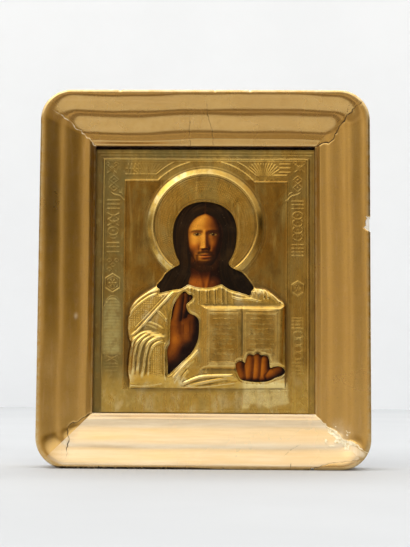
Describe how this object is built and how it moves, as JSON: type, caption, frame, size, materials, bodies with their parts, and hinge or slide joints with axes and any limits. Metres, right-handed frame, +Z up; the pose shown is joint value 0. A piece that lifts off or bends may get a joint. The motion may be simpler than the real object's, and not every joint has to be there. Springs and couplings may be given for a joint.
{
  "type": "framed icon panel",
  "caption": "Painted icon board under an embossed brass cover, cut open over head and hands, in a deep gilded moulded frame with rounded outer corners; stands on its lower rail.",
  "frame": {"origin": "middle of the frame's footprint, on the surface it stands on", "axes": "+Z up the icon, +X to the viewer's right, the painted front faces -Y"},
  "size_m": [0.3244, 0.054, 0.3715],
  "materials": {
    "gilt_frame": "gilded gesso on wood, worn and cracked at the mitres",
    "painted_board": "darkened tempera under varnish",
    "embossed_brass": "stamped sheet brass, unevenly tarnished",
    "bare_wood": "plain old planed board"
  },
  "bodies": {
    "root": {"frame_rail_top": "gilt_frame", "frame_rail_bottom": "gilt_frame", "frame_rail_left": "gilt_frame", "frame_rail_right": "gilt_frame", "icon_board": "painted_board", "oklad": "embossed_brass", "back_board": "bare_wood"}
  },
  "joints": []
}
